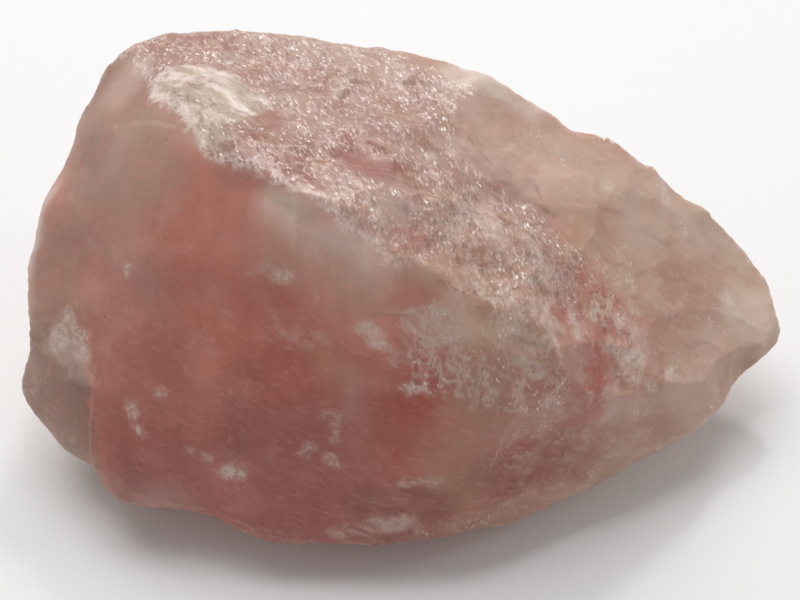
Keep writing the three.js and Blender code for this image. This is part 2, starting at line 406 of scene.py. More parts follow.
def breaks_tree():
    """The stone's shape, from the frame's big breaks to the small facets."""
    tree, given, result = group(
        "Fresh breaks", "GeometryNodeTree",
        {"Stone": "Geometry", "Facet size": "Float", "Facet bite": "Float", "Grain size": "Float",
         "Grain bite": "Float", "Flake bite": "Float"},
        {"Stone": "Geometry"},
    )
    # The way each big break lies is blurred on the coarse stone, before it is divided.
    facing = blurred(tree, add(tree, "GeometryNodeInputNormal").outputs[0], 3)
    stone = store(tree, given["Stone"], "lay", facing, "FLOAT_VECTOR")
    divided = add(tree, "GeometryNodeSubdivideMesh")
    join(tree, stone, divided.inputs["Mesh"])
    divided.inputs["Level"].default_value = 2
    # How free each point is to move: the flat patches that the stone rests on stay as they are.
    split = add(tree, "ShaderNodeSeparateXYZ")
    join(tree, position(tree), split.inputs[0])
    stone = store(tree, divided.outputs["Mesh"], "free", fade(tree, split.outputs["Z"], 0.05 * MM, 2 * MM))
    stone = store(tree, stone, "rim", 9.0)
    lay = lying(tree)
    steep = fade(tree, vector(tree, "DOT_PRODUCT", lay, STEEP_FACING), 0.78, 0.93)
    stone = store(tree, stone, "steep", steep)
    side = fade(tree, vector(tree, "DOT_PRODUCT", lay, SIDE_FACING), 0.86, 0.96)
    stone = store(tree, stone, "calm", highest(tree, stored(tree, "steep"), side))
    stone = worn_smooth(tree, stone, 9, stored(tree, "free"), 0.35 * MM)
    stone = worn_smooth(tree, stone, 70, product(tree, stored(tree, "free"), stored(tree, "calm")), 0.6 * MM)
    stone = worn_smooth(tree, stone, 3, stored(tree, "free"), 0.2 * MM)

    # The ground is each point's place in millimetres before anything springs off. Patterns follow it.
    stone = store(tree, stone, "ground", vector(tree, "SCALE", position(tree), 1 / MM), "FLOAT_VECTOR")
    ground = stored(tree, "ground", "FLOAT_VECTOR")
    ragged = shifted(tree, ground, 9, 6.0, 3.0)
    split = add(tree, "ShaderNodeSeparateXYZ")
    join(tree, lay, split.inputs[0])
    top = number(tree, "MULTIPLY", number(tree, "SUBTRACT", split.outputs["Z"], 0.45), 40.0)
    close = shifted(tree, ground, 4, 2.2, 3.0)
    for inwards, start in TOP_EDGES:
        top = lowest(tree, top, number(tree, "SUBTRACT", vector(tree, "DOT_PRODUCT", close, inwards), start))
    stone = store(tree, stone, "top", top)
    windows = number(tree, "ADD", 5.0, swing(tree, ground, 5, 28.0, 3.0))
    broken = number(tree, "ADD", deepest(tree, ragged, SUGARY), swing(tree, ground, 2.2, 8.0, 3.0))
    sugary = lowest(
        tree, broken, stored(tree, "top"), windows,
        number(tree, "MULTIPLY", deepest(tree, shifted(tree, ground, 4, 2.5, 3.0), CLEAN), -1.0))
    behind = number(tree, "MULTIPLY", number(tree, "SUBTRACT", split.outputs["Y"], 0.3), 30.0)
    sugary = highest(tree, sugary, lowest(tree, behind, swing(tree, ground, 15, 40.0, 3.0)))
    flaky_behind = lowest(tree, behind, swing(tree, ragged, 12, -36.0, 3.0))
    flaky = highest(tree, deepest(tree, ragged, FLAKY), flaky_behind)
    stone = store(tree, stone, "sugary", sugary)
    stone = store(tree, stone, "flaky", flaky)

    shell = shell_group()
    for near, width, bite in SHELLS:
        stone = place_group(tree, shell, {
            "Stone": stone, "Near": Vector(near) * MM, "Width": width * MM, "Bite": bite * MM,
            "Ragged": 1.4 * MM,
        })["Stone"]
    ledge = ledge_group()
    for near, down, width, reach, drop, torn in LEDGES:
        stone = place_group(tree, ledge, {
            "Stone": stone, "Near": Vector(near) * MM, "Down": down, "Width": width * MM,
            "Reach": reach * MM, "Drop": drop * MM, "Ragged": torn * MM,
        })["Stone"]

    # Small facets: a shallow bowl in each cell, tilted by chance. The steep face has almost none.
    sugar = fade(tree, stored(tree, "sugary"), -1.0, 1.5)
    flakes = fade(tree, stored(tree, "flaky"), -1.0, 1.5)
    plain = number(tree, "SUBTRACT", 1.0, number(tree, "MULTIPLY", 0.85, stored(tree, "calm")))
    rougher = number(tree, "MULTIPLY", 0.6, highest(tree, sugar, flakes))
    shares = {
        "Facet": product(tree, plain, number(tree, "ADD", 0.4, rougher)),
        "Grain": product(tree, plain, number(tree, "ADD", 0.05, sugar)),
    }
    flake_fall = number(tree, "MULTIPLY", given["Flake bite"], -1.0)
    rise = product(tree, flake_phase(tree, ground), flakes, flake_fall)
    for name, share in shares.items():
        finer = vector(tree, "DIVIDE", position(tree), given[name + " size"])
        made = cells(tree, finer, 1.0, feature="SMOOTH_F1")
        made.inputs["Smoothness"].default_value = 0.25
        across = vector(tree, "SUBTRACT", finer, made.outputs["Position"])
        tilt = vector(tree, "SUBTRACT", made.outputs["Color"], (0.5, 0.5, 0.5))
        bowl = number(tree, "POWER", made.outputs["Distance"], 2.0)
        lean = number(tree, "MULTIPLY", 2.2, vector(tree, "DOT_PRODUCT", across, tilt))
        bowl = number(tree, "ADD", bowl, lean)
        rise = number(tree, "ADD", rise, product(tree, bowl, given[name + " bite"], share))
    stone = moved(tree, stone, vector(tree, "SCALE", lying(tree), product(tree, rise, stored(tree, "free"))))

    # Nothing goes below the table.
    settled = add(tree, "GeometryNodeSetPosition")
    join(tree, stone, settled.inputs["Geometry"])
    join(tree, vector(tree, "MAXIMUM", position(tree), (-1.0, -1.0, 0.0)), settled.inputs["Position"])
    join(tree, settled.outputs["Geometry"], result["Stone"])
    return tree


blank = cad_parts[NODE].data.copy()
joined = bmesh.new()
joined.from_mesh(blank)
bmesh.ops.remove_doubles(joined, verts=joined.verts, dist=0.001 * MM)
joined.to_mesh(blank)
surface = BVHTree.FromBMesh(joined)
joined.free()


def on_stone(place):
    """The point of the surface that is nearest to a place, both in millimetres."""
    return surface.find_nearest(Vector(place) * MM)[0] / MM


def shade(red, green, blue):
    """A colour, given as on a screen from 0 to 255, as light."""
    return tuple(((part / 255 + 0.055) / 1.055) ** 2.4 for part in (red, green, blue)) + (1.0,)


DEEP_ROSE = shade(192, 114, 97)
RED_ROSE = shade(174, 87, 74)
MAUVE = shade(170, 98, 90)
# Painted shade: a darker rose for the lower stone, where little light comes up from below.
SHADED_LOW_ROSE = shade(148, 86, 76)
ROSE = shade(198, 145, 128)
PINK_GREY = shade(186, 138, 124)
SIDE_ROSE = shade(178, 110, 96)
# Painted light: a brighter rose for the upper steep face, as the light from above would make it.
PAINTED_LIGHT_ROSE = shade(218, 136, 119)
SHADOW_GREY = shade(174, 138, 124)
SIDE_VEIL = shade(186, 144, 128)
CORNER_GREY = shade(184, 136, 128)
GREY_VEIL = shade(172, 142, 125)
END_GREY = shade(164, 134, 120)
# Dark olive: the colour of painted shadows under slab edges, and of a few darker patches.
DARK_OLIVE = shade(120, 92, 74)
MILK = shade(214, 186, 172)
PINK_MILK = shade(210, 152, 138)
LIP_MILK = shade(242, 212, 200)
WARM_BEIGE = shade(218, 178, 154)
PALE_BEIGE = shade(234, 198, 174)
# Painted shade: the darker grey of the grey end near its edge.
END_SHADOW = shade(141, 113, 99)
IRON = shade(96, 66, 56)
# Pale frost of cracked grains, also used for painted glints and painted light.
FROST_AND_GLINT = shade(238, 220, 210)
# Painted highlight: the colour of the glints that are painted into the stone's colour.
PAINTED_GLINT = (1.0, 0.92, 0.86, 1.0)
CREAM = shade(222, 204, 190)
GREENISH = shade(190, 171, 150)
TOP_ROSE = shade(171, 133, 122)
WINDOW_ROSE = shade(152, 98, 86)
PALE_RIM = shade(216, 194, 178)
BEIGE = shade(202, 170, 150)
OLIVE = shade(182, 146, 116)
ORANGE_BEIGE = shade(194, 148, 125)
BROWN_ROSE = shade(184, 138, 120)

# Colour zones: the shade, the line that each lies round, its radius, how soft it is and its strength.
TONES = [
    (BEIGE, (30, 4, 28), (40, 2, 18), 12, 5, 0.9),
    (BROWN_ROSE, (34, -2, 21), (33, -12, 17), 6, 4, 0.7),
    (PALE_RIM, (44.8, -1.2, 15), (46, 0, 13), 4, 2, 0.7),
    (DEEP_ROSE, (-22, -9, 36), (-17, -18, 28), 12, 5, 0.9),
    (ROSE, (-27, -1, 41), (-21, -5.5, 41.5), 5, 4, 0.7),
    (DEEP_ROSE, (-30, -8, 32), (-27, -4, 38), 5, 5, 0.5),
    # Painted light: the upper steep face under the ridge is made lighter.
    (PAINTED_LIGHT_ROSE, (-22, -6, 41), (-3, -14, 37), 5, 4, 0.8),
    (PAINTED_LIGHT_ROSE, (-16, -11, 38), (-4, -16, 35), 3, 3, 0.6),
    (SIDE_ROSE, (-33, -13, 24), (-32, -22, 14), 7, 4, 0.7),
    (RED_ROSE, (-14, -13, 33), (-14, -19.6, 26), 5, 4, 0.6),
    (MAUVE, (-30, -23, 13), (-19, -26, 12), 7, 5, 0.8),
    (MAUVE, (-12, -24, 17), (-8, -28, 10), 8, 5, 0.9),
    (RED_ROSE, (-1, -20.6, 25), (-1.2, -23.4, 19.5), 3.6, 2.5, 0.85),
    (PINK_GREY, (-37, 1, 33), (-34, -6, 30), 7, 4, 0.8),
    (SHADOW_GREY, (-44, 0, 26), (-44, -8, 19), 5, 3, 0.8),
    (GREY_VEIL, (-39, 18, 37), (-35, 7, 39.5), 7, 3, 0.9),
    (SIDE_VEIL, (-34, 4, 38.5), (-29.5, 1, 41.5), 4, 3, 0.8),
    (PINK_GREY, (-41, 5, 33), (-44, 3, 29), 4, 2.5, 0.4),
    (BEIGE, (-4, -12.5, 42.5), (1.5, -13.5, 39), 1.6, 1.4, 0.7),
    (LIP_MILK, (-14, -9.3, 43.6), (-5, -13.9, 40.8), 2.3, 2.6, 0.95),
    (GREENISH, (-15.5, -7.4, 45.2), (-13.5, -9, 44.2), 1.2, 1, 0.8),
    (BEIGE, (-14, -11.5, 39), (-5, -15, 37), 4, 3, 0.5),
    (PINK_GREY, (-6.4, -18.5, 29), (-6.4, -21.6, 23), 1.6, 1.2, 0.5),
    (OLIVE, (-9.7, -17.4, 30), (-9, -18.5, 28), 2.5, 1.8, 0.4),
    (WARM_BEIGE, (8.3, -14, 36), (15.4, -17, 30.5), 6, 3, 0.9),
    (PALE_BEIGE, (6, -17.2, 33.5), (15, -17.2, 30.8), 2.2, 2, 0.8),
    (BROWN_ROSE, (7, -12.8, 37), (10, -11.8, 36.2), 2.6, 2, 1.0),
    (BROWN_ROSE, (13.5, -13, 33.6), (20, -12.4, 29.6), 2, 2, 0.8),
    (OLIVE, (7.2, -18, 30), (7.3, -19.4, 26), 3, 2.5, 0.6),
    (RED_ROSE, (3.7, -20.6, 25.2), (3, -22.5, 21), 2.2, 2, 0.7),
    (BROWN_ROSE, (11, -20.6, 23.7), (16, -20, 23), 6, 3, 0.8),
    (BROWN_ROSE, (5, -25, 17), (11, -23.5, 18), 4, 2.5, 0.7),
    (RED_ROSE, (13, -23.5, 14), (20, -21.5, 13.5), 4.5, 3, 1.0),
    (OLIVE, (3, -27, 12), (8, -25.5, 14), 2.5, 2, 0.8),
    (OLIVE, (8, -28.5, 8), (12, -27, 8), 2.5, 2, 0.6),
    (BROWN_ROSE, (16, -14.5, 31), (23, -11.5, 27), 4, 2.5, 0.8),
    (BROWN_ROSE, (8, -11, 37), (11, -12, 35.5), 4, 2, 0.9),
    # Along the left rim the stone is pale, and it is painted lighter still: painted light on an edge that
    # the lamps leave dark.
    (FROST_AND_GLINT, (-46.5, 7, 29), (-48.5, -3, 20), 1.9, 1.2, 0.6),
    (OLIVE, (6, -13, 37), (10, -15, 34), 3, 2, 0.5),
    (PINK_GREY, (-1, -16.5, 34.5), (0, -17.5, 33), 2.2, 2, 0.35),
    (MILK, (35, -12, 14.5), (38, -9, 13.5), 4, 3, 0.5),
    (RED_ROSE, (17, -19.8, 22.5), (21, -18.5, 20.5), 2.5, 2.5, 0.4),
    (RED_ROSE, (20, -12.5, 28.5), (23.5, -16.8, 20.5), 3.0, 2.6, 0.9),
    (RED_ROSE, (22, -6.2, 29.8), (25, -9, 27), 2.8, 2.6, 0.85),
    (ORANGE_BEIGE, (21.7, 1.3, 32.5), (23, -2.5, 30.5), 4, 2, 0.8),
    (WINDOW_ROSE, (-17, 5.5, 45.5), (-16, 4, 45.5), 2, 1, 0.4),
    (WINDOW_ROSE, (-7, 0.5, 45), (-0.5, -2.2, 44), 2.6, 1.8, 1.0),
    (WINDOW_ROSE, (-18, -1, 46.4), (-12, -2.5, 46), 4.0, 3, 0.9),
    (MILK, (-12, -8, 45.4), (-8, -9.3, 44.8), 1.8, 2, 0.6),
    (PALE_RIM, (-6, 19, 42.5), (2, 18, 41.5), 3, 1.5, 0.25),
    (CREAM, (7, 17, 40.7), (15, 16, 39), 3.4, 1.5, 0.95),
    (MILK, (6.5, 5, 40.3), (10, 5.5, 38.5), 2.4, 2, 0.5),
    (BEIGE, (8, 10.5, 40), (13, 9, 38), 3, 2, 0.8),
    (MILK, (8, 10.8, 40.2), (9.5, 10, 39.5), 2, 2, 0.6),
    (MILK, (-1, -5, 43.5), (-4, -8.5, 43.5), 2, 2, 0.5),
    (PALE_RIM, (18, 6, 35.5), (20, 7, 34), 5, 2.5, 0.4),
    (MILK, (-37, 16, 39), (-34, 18.5, 40.5), 2.5, 2, 0.8),
    (GREENISH, (-25, 4.5, 45.8), (-22.5, 0.5, 46.5), 2.0, 1.2, 0.8),
    (GREENISH, (-14, -8.5, 45), (-11, -10, 44), 1.0, 0.8, 0.6),
    # Painted shade along the bottom of the steep face.
    (SHADED_LOW_ROSE, (-30, -27, 7), (-16, -30, 6), 3, 2.5, 0.5),
    (CORNER_GREY, (-36, -24.5, 9.5), (-30, -26, 8.5), 3.6, 2, 0.75),
    (PINK_GREY, (-6, -23, 19), (-5, -24, 17.5), 2, 2.5, 0.3),
    (PALE_RIM, (28.5, 5, 30.5), (30.5, 3.5, 29.5), 3, 3, 0.4),
    (PALE_RIM, (39, 8, 23), (41, 7.5, 21), 2.5, 2.5, 0.4),
    (BEIGE, (28.6, -15.6, 17), (30, -15, 16), 2.5, 2.5, 0.4),
    (BROWN_ROSE, (20, -21.5, 12.5), (31, -17, 11), 4, 2.5, 0.7),
    # Painted shade along the bottom of the front.
    (SHADED_LOW_ROSE, (-2, -30, 6), (12, -29, 6), 4, 3, 0.8),
    (SHADED_LOW_ROSE, (16, -26, 6), (36, -17, 6), 2.5, 2, 0.5),
    (END_GREY, (-42, 9.5, 34.5), (-40, 5, 34.5), 3.6, 3, 0.8),
    # Painted shade on the lower steep face.
    (SHADED_LOW_ROSE, (-37, -17.5, 17.5), (-35, -24, 11), 2.2, 2.5, 0.6),
    (SHADED_LOW_ROSE, (-20, -20, 24.5), (-20, -23, 20), 3, 3, 0.65),
    (DARK_OLIVE, (-24, 4.5, 46), (-21, 2, 46.4), 2, 1.5, 0.3),
    (DARK_OLIVE, (7.5, -12, 36.8), (9, -13, 36), 2.2, 2, 0.45),
    (SIDE_ROSE, (28, -9.5, 24.5), (28.5, -12.4, 20.8), 2.5, 2.5, 0.6),
    (SIDE_ROSE, (17, -14, 31.5), (19, -13.5, 30), 2, 2, 0.4),
    # Painted shade low on the front.
    (SHADED_LOW_ROSE, (8, -25.5, 15), (12, -25, 13), 2.5, 2.5, 0.6),
    (SHADED_LOW_ROSE, (-5, -28, 12), (3, -27.5, 12), 3, 2, 0.85),
    (SHADED_LOW_ROSE, (14, -23.5, 13.5), (20, -21.5, 13), 3, 2.5, 0.5),
    (MAUVE, (-38, -5.6, 28), (-35, -8, 28), 4, 3, 0.3),
    # Painted light on the middle of the steep face.
    (PAINTED_LIGHT_ROSE, (-24, -10, 34), (-15, -12.5, 33.5), 4, 4, 0.2),
    # Painted shadow: a thin dark line along the edge of the grey end, under the ledge.
    (DARK_OLIVE, (-39.5, -17, 15), (-39.5, -21, 10), 1.1, 0.9, 0.6),
    # Painted shade along the bottom edge, where the stone meets the table.
    (MAUVE, (-34, -22, 1.5), (-10, -27, 1.5), 4.5, 4, 0.6),
    (MAUVE, (-10, -27, 1.5), (16, -24, 1.5), 4.5, 4, 0.6),
]
CRUST = [
    ((-30.5, 14.5, 43.3), (-28, 12.5, 44.5), 1.5),
    ((-28, 12, 45), (-21.5, 8, 46), 4.2),
    ((-26.5, 6.5, 45.6), (-25.5, 4.5, 45.6), 1.0),
]
GREY_END = [((-47.5, -14, 16), (-49, -24, 7), 8.3)]
# Hazy patches, where light gets into many small cracks: a line and a radius.
HAZY = [
    ((5.5, -15.5, 36.5), (6.5, -17, 33.5), 1.3),
    ((9.2, -3.4, 38), (10.5, -8.5, 37), 1.4),
    ((1.5, -15.8, 34.6), (4, -16.2, 35), 1.6),
    ((29, -9, 22), (28, -12, 20.5), 1.8),
    ((24, -17, 20), (26, -17, 18.5), 1.4),
    ((41.5, 0.2, 18.3), (43.5, -2, 15.5), 1.3),
    ((31.5, 10, 27.5), (36, 7, 24), 2.0),
    ((-10, -17, 31), (-14, -16.5, 30.5), 1.0),
    ((-18, -10.5, 36.5), (-13.5, -11.3, 37.2), 1.0),
    ((-25, -13.5, 26.5), (-22, -14.5, 27), 0.8),
    ((13.5, -14, 33), (17, -15, 31), 1.6),
    ((-9, -12, 42.8), (-6.5, -12.4, 42.5), 1.6),
    ((-4, -28.7, 9.5), (0.5, -28.5, 9.7), 1.0),
    ((-43.5, -9, 19.8), (-40, -12, 19), 2.2),
]
# White bruises where the stone was knocked: a line and a radius.
BRUISES = [
    ((-33.5, -17.8, 18.7), (-33.3, -18.2, 18.2), 0.8),
    ((-33.1, -19, 17.6), (-32.7, -20.3, 16.7), 0.5),
    ((-29.9, -17.4, 21), (-29.3, -17.2, 21.5), 0.35),
    ((-33.5, -5.9, 30.3), (-33.2, -5.8, 30.4), 0.35),
    ((-26.3, -22.4, 16.4), (-26.2, -22.4, 16.4), 0.25),
    ((-24.6, -23, 16), (-24.4, -23, 15.6), 0.4),
    ((-21.8, -24.2, 14.2), (-20.3, -24.5, 14.8), 0.9),
    ((-41.8, -7.3, 22.5), (-43.5, -8.9, 19.8), 1.2),
    ((-40.2, -9.7, 21.8), (-39.9, -10.5, 20.9), 1.4),
    ((-14.8, -11, 36.3), (-14.1, -11.2, 36.2), 0.9),
    ((-11.9, -23.5, 18.5), (-12.3, -23.8, 17.9), 0.5),
    ((-9.5, -24.3, 16.8), (-8.7, -24.6, 16.4), 0.45),
    ((-0.3, -20.4, 25.8), (0.5, -20.6, 25.5), 0.5),
    ((-5, -17, 33.2), (-3.2, -18, 31.6), 0.7),
    ((20.2, -12.3, 29.8), (20.6, -14, 28), 0.5),
    ((32.8, -11.8, 17.5), (33.4, -11.6, 17.6), 0.7),
    ((33, 9.3, 26.8), (32.7, 11.3, 27.7), 0.6),
    ((42.6, -0.9, 16.9), (41.5, 0.5, 18), 0.7),
    ((28.2, -6.6, 24.8), (29, -7.2, 24.2), 0.35),
    ((26.1, -9.6, 24.8), (26.5, -9.2, 24.5), 0.5),
    ((29.9, -14, 17.6), (30.1, -13.8, 17.6), 0.6),
    ((27.5, -12.4, 21.7), (28.5, -12, 20.8), 0.7),
    ((24.5, 6, 32), (25.1, 6.5, 31.8), 0.5),
]
# Chips, thin flakes that are still on: a line and a radius.
CHIPS = [
    ((0.8, -16.8, 33.5), (3.4, -17.9, 32.2), 1.6),
    ((3.8, -16.5, 35.3), (3.8, -17.5, 33.5), 0.9),
    ((-9.1, -21.6, 23.2), (-8.9, -22.9, 20), 0.6),
    ((-5.2, -16.7, 33.4), (-1.1, -19, 29.9), 0.9),
    ((12.6, -17, 31.6), (15.8, -17.1, 30.3), 0.7),
    ((13, -18.3, 28.6), (15.7, -18.7, 27), 0.8),
    ((-8.6, -29.1, 8.3), (-0.6, -28.5, 9.3), 0.9),
    ((-1, -26.3, 14.4), (4, -26.1, 14.9), 0.5),
    ((9.2, -3.4, 38), (10.5, -7, 37.3), 1.2),
    ((-9, 10.5, 43.2), (-6.5, 10.8, 43.2), 0.6),
    ((14, -5.6, 35.8), (14.8, -6.4, 35.4), 0.8),
]
# Fine healed cracks: lines that run on from place to place.
CRACKS = [
    [(-36.3, 10.6, 38.2), (-31.3, 7.7, 42), (-27.3, 4.8, 43.6), (-25.8, 2.8, 44.5)],
    [(-0.8, -16.8, 34), (1.9, -16.1, 35.7), (3.6, -16.8, 35.4), (4.1, -18.2, 32)],
    [(2.5, -18.9, 29.4), (-0.1, -18.6, 31.6), (-1.4, -17.3, 33.4)],
    [(12.3, -17, 31.8), (14.2, -17, 31), (16.1, -17.1, 30), (17.5, -16.6, 29.4)],
    [(12.6, -18.2, 28.8), (14.3, -18.5, 28.3), (15.9, -18.8, 26.7), (17.3, -19, 25.2)],
    [(26.3, -11, 24), (25.2, -12.8, 22.6), (25, -14.5, 20.8), (23.6, -15.6, 20)],
]
# Painted shadows: dark lines where the edge of a slab casts its own shadow.
SLAB_SHADOWS = [
    [(7.2, 7.2, 40.2), (10.2, 4.9, 38.2), (12.6, 3.9, 37.2)],
    [(14.9, 4, 36), (16.6, 0.7, 34.7), (17.9, -2.1, 33)],
    [(-21.5, 2.5, 46.2), (-18.5, 3.5, 46), (-16.8, 3.2, 46)],
]


def colours_tree(finish):
    """The stone's colour, with painted light and shade among it, and the depth of each sort of mark, kept on
    its points.
    """
    tree, given, result = group(
        "Colour zones", "GeometryNodeTree", {"Stone": "Geometry", "Wander": "Float"}, {"Stone": "Geometry"})
    ground = stored(tree, "ground", "FLOAT_VECTOR")
    wandering = shifted(tree, shifted(tree, ground, 14, given["Wander"]), 3, 2.4, 4.0)
    sugary = fade(tree, deepest(tree, wandering, SUGARY), -4.0, 2.0)
    top = product(tree, fade(tree, stored(tree, "top"), -0.8, 0.8), sugary)
    tone = mixed(tree, fade(tree, cloud(tree, wandering, 20, 3.0), 0.38, 0.62), ROSE, BEIGE)
    tone = mixed(tree, stored(tree, "steep"), tone, DEEP_ROSE)
    tone = mixed(tree, top, tone, TOP_ROSE)
    for colour, start, end, radius, soft, strength in TONES:
        share = fade(tree, zone(tree, wandering, start, end, radius), -soft, soft)
        tone = mixed(tree, number(tree, "MULTIPLY", share, strength), tone, colour)
    stone = store(tree, given["Stone"], "tone", tone, "FLOAT_COLOR")

    close = shifted(tree, ground, 3, 1.2, 3.0)
    small = {"bruise": BRUISES, "chip": CHIPS}
    for name, lines in (("crack", CRACKS), ("slab_shadow", SLAB_SHADOWS)):
        small[name] = [(start, end, 0.0) for line in lines for start, end in zip(line, line[1:])]
    for name, marks in small.items():
        marks = [(on_stone(start), on_stone(end), radius) for start, end, radius in marks]
        stone = store(tree, stone, name, deepest(tree, close, marks))
    stone = store(tree, stone, "hazy", deepest(tree, close, HAZY))
    stone = store(tree, stone, "crust", deepest(tree, close, CRUST))
    stone = store(tree, stone, "grey_end", deepest(tree, ground, GREY_END))

    smooth = add(tree, "GeometryNodeSetShadeSmooth")
    join(tree, stone, smooth.inputs["Geometry"])
    real = add(tree, "GeometryNodeRealizeInstances")
    join(tree, smooth.outputs["Geometry"], real.inputs["Geometry"])
    finished = add(tree, "GeometryNodeSetMaterial")
    join(tree, real.outputs["Geometry"], finished.inputs["Geometry"])
    finished.inputs["Material"].default_value = finish
    join(tree, finished.outputs["Geometry"], result["Stone"])
    return tree


def set_inputs(modifier, values):
    """Sets a modifier's inputs by their sockets' identifiers."""
    for item in modifier.node_group.interface.items_tree:
        if item.in_out == "INPUT" and item.name in values:
            modifier[item.identifier] = values[item.name]


quartz = bpy.data.materials.new("rose_quartz")
quartz.use_nodes = True
rough_stone = bpy.data.objects.new("rough_stone", blank)
bpy.context.scene.collection.objects.link(rough_stone)
breaking = rough_stone.modifiers.new("fresh_breaks", "NODES")
breaking.node_group = breaks_tree()
set_inputs(breaking, {
    "Facet size": 4.5 * MM, "Facet bite": 0.3 * MM, "Grain size": 1.5 * MM, "Grain bite": 0.08 * MM,
    "Flake bite": 0.14 * MM,
})
colouring = rough_stone.modifiers.new("colour_zones", "NODES")
colouring.node_group = colours_tree(quartz)
set_inputs(colouring, {"Wander": 5.0})
evaluated = rough_stone.evaluated_get(bpy.context.evaluated_depsgraph_get())
chunk = bpy.data.objects.new("chunk", bpy.data.meshes.new_from_object(evaluated))
bpy.data.objects.remove(rough_stone)
bpy.context.scene.collection.objects.link(chunk)
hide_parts(NODE)
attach(chunk, "root")

# The finish: a clean break is glassy, and a sugary one glitters.
tree = quartz.node_tree
tree.nodes.clear()
output = add(tree, "ShaderNodeOutputMaterial")
look = add(tree, "ShaderNodeBsdfPrincipled")
tree.links.new(look.outputs[0], output.inputs["Surface"])


def kept(name, out="Fac"):
    """A value that was kept on the stone."""
    return add(tree, "ShaderNodeAttribute", attribute_name=name).outputs[out]


DASH_WAY = (0.47, -0.88, 0.0)  # the way the facets of the sugary top run
DROP_WAY = (0.3, -0.5, -0.81)  # the way they run below it
CRUST_WAY = (0.82, -0.57, 0.0)  # the way the crust is streaked
STEEP_WAY = (0.0, 0.53, 0.85)  # straight up the steep face
HAIR_WAY = (0.94, -0.18, -0.29)  # the way fine scratches run over it

place = kept("ground", "Vector")
tight = shifted(tree, place, 1.6, 1.2, 4.0)
steep = kept("steep")
sugar = fade(tree, number(tree, "ADD", kept("sugary"), swing(tree, place, 1.0, 2.0, 3.0)), -0.6, 0.8)
flaky = fade(tree, number(tree, "ADD", kept("flaky"), swing(tree, place, 2.5, 5.0, 3.0)), -0.5, 1.0)


def dimmed(colour, share):
    """A colour with its light scaled."""
    return vector(tree, "SCALE", colour, share)


# Clouds in the stone, and faint bands up the steep face.
colour = dimmed(kept("tone", "Color"), number(tree, "ADD", 1.0, swing(tree, place, 8, 0.2, 3.0)))
speckled = number(tree, "ADD", 0.3, highest(tree, sugar, number(tree, "MULTIPLY", flaky, 0.5)))
colour = dimmed(colour, number(tree, "ADD", 1.0, product(tree, swing(tree, tight, 0.7, 0.3, 3.0), speckled)))
bands = swing(tree, drawn_out(tree, place, STEEP_WAY, 14), 2.2, 0.16, 1.0)
bands = number(tree, "ADD", bands, swing(tree, drawn_out(tree, place, STEEP_WAY, 20), 0.8, 0.14, 1.0))
colour = dimmed(colour, number(tree, "ADD", 1.0, product(tree, bands, steep)))
grey_end = fade(tree, number(tree, "ADD", kept("grey_end"), swing(tree, place, 2.5, 4.0, 4.0)), -1.0, 1.0)
# Painted shade: the grey end darkens towards its edge by the ledge.
shadowed = fade(tree, vector(tree, "DOT_PRODUCT", tight, (1.0, 0.0, 0.0)), -44.0, -39.5)
grey = mixed(tree, shadowed, END_GREY, END_SHADOW)
colour = mixed(tree, number(tree, "MULTIPLY", grey_end, 0.85), colour, grey)
marbled = fade(tree, cloud(tree, shifted(tree, place, 5, 4.0, 3.0), 6, 5.0), 0.42, 0.62)
colour = mixed(tree, number(tree, "MULTIPLY", marbled, 0.22), colour, SIDE_ROSE)
plain = number(tree, "SUBTRACT", 1.0, kept("calm"))
stained = cloud(tree, shifted(tree, place, 3, 3.0, 3.0), 3.6, 6.0)
colour = mixed(tree, product(tree, fade(tree, stained, 0.5, 0.66), plain, 0.35), colour, OLIVE)
blotched = cloud(tree, shifted(tree, place, 2, 2.0, 3.0), 2.4, 6.0)
colour = mixed(tree, product(tree, fade(tree, blotched, 0.53, 0.68), plain, 0.28), colour, MILK)
veils = fade(tree, cloud(tree, drawn_out(tree, tight, HAIR_WAY, 2.0), 3.2, 6.0), 0.47, 0.66)
wisps = fade(tree, cloud(tree, drawn_out(tree, tight, HAIR_WAY, 3.0), 0.6, 5.0), 0.5, 0.72)
veil = mixed(tree, kept("calm"), MILK, PINK_MILK)
veiled = number(tree, "ADD", number(tree, "MULTIPLY", veils, 0.22), number(tree, "MULTIPLY", wisps, 0.26))
colour = mixed(tree, veiled, colour, veil)
hanging = drawn_out(tree, tight, STEEP_WAY, 2.5)
curtains = fade(tree, cloud(tree, hanging, 1.6, 6.0), 0.42, 0.6)
fibres = number(tree, "MULTIPLY", fade(tree, cloud(tree, hanging, 0.4, 5.0), 0.42, 0.58), 0.9)
curtains = product(tree, curtains, number(tree, "ADD", 0.3, fibres), flaky, 0.6)
colour = mixed(tree, curtains, colour, MILK)
haze = fade(tree, number(tree, "ADD", kept("hazy"), swing(tree, tight, 1.5, 4.0, 6.0)), -0.8, 1.2)
colour = mixed(tree, number(tree, "MULTIPLY", haze, 0.5), colour, MILK)

# Fine scratches, broken into short lengths.
hairs = number(tree, "ABSOLUTE", swing(tree, drawn_out(tree, place, HAIR_WAY, 12), 1.5, 1.0, 1.0))
hairs = product(tree, fade(tree, hairs, 0.02, 0.0), fade(tree, cloud(tree, place, 5, 3.0), 0.52, 0.68))
hairs = product(tree, hairs, number(tree, "ADD", 0.05, number(tree, "MULTIPLY", steep, 0.1)))
colour = mixed(tree, hairs, colour, MILK)

